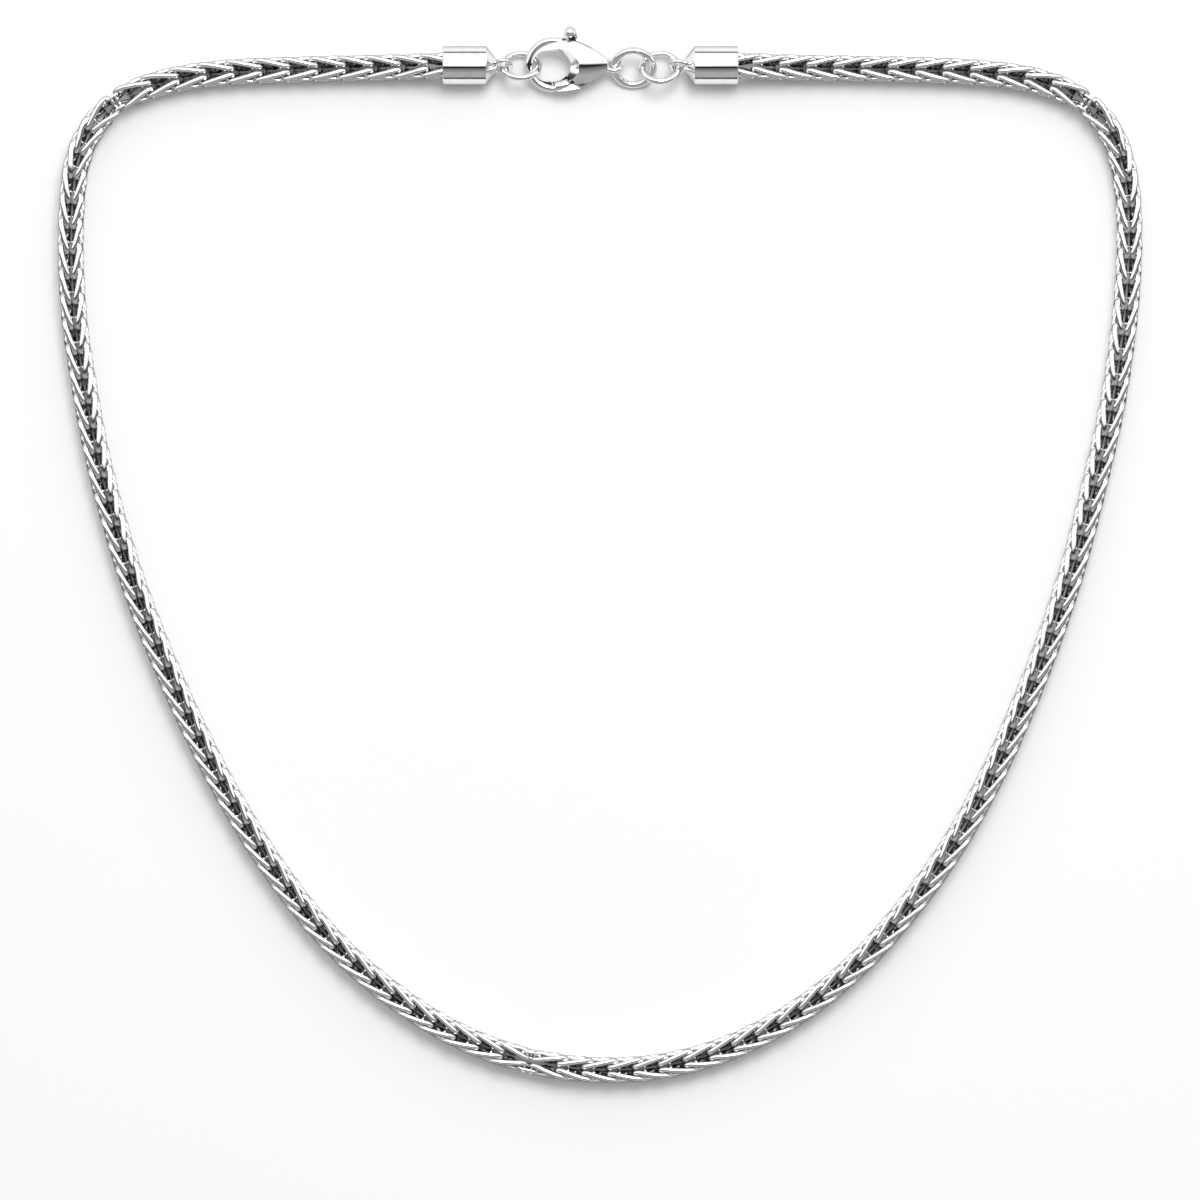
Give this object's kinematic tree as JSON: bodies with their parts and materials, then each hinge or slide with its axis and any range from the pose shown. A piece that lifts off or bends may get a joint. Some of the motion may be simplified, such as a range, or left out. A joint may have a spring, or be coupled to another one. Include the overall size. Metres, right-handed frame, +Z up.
{
  "type": "wheat chain necklace",
  "caption": "Squarish wheat chain necklace laid flat in a closed loop, with cone-shouldered end caps, jump rings and a puffed lobster clasp with a working lever.",
  "frame": {"origin": "centre of the necklace's bounding box in plan, on the surface that it lies on", "axes": "+X across the loop, +Y towards the clasp, +Z up from the surface"},
  "size_m": [0.1568, 0.1528, 0.0056],
  "materials": {
    "chain_silver": "bright polished silver wire",
    "polished_silver": "mirror polished silver"
  },
  "bodies": {
    "necklace": {"wheat_chain": "chain_silver", "left_end_cap": "polished_silver", "right_end_cap": "polished_silver", "hook_ring": "polished_silver", "tail_ring": "polished_silver", "link_ring": "polished_silver", "clasp_body": "polished_silver", "lever_pin": "polished_silver"},
    "lever": {"clasp_lever": "polished_silver"}
  },
  "joints": [
    {"name": "lever_hinge", "type": "hinge", "parent": "necklace", "child": "lever", "pos_m": [-0.0025, 0.06991, 0.00216], "axis": [0, 0.1392, -0.9903], "range_deg": [0, 28], "stiffness_Nm_per_rad": 0.002, "springref_deg": -17.19}
  ]
}
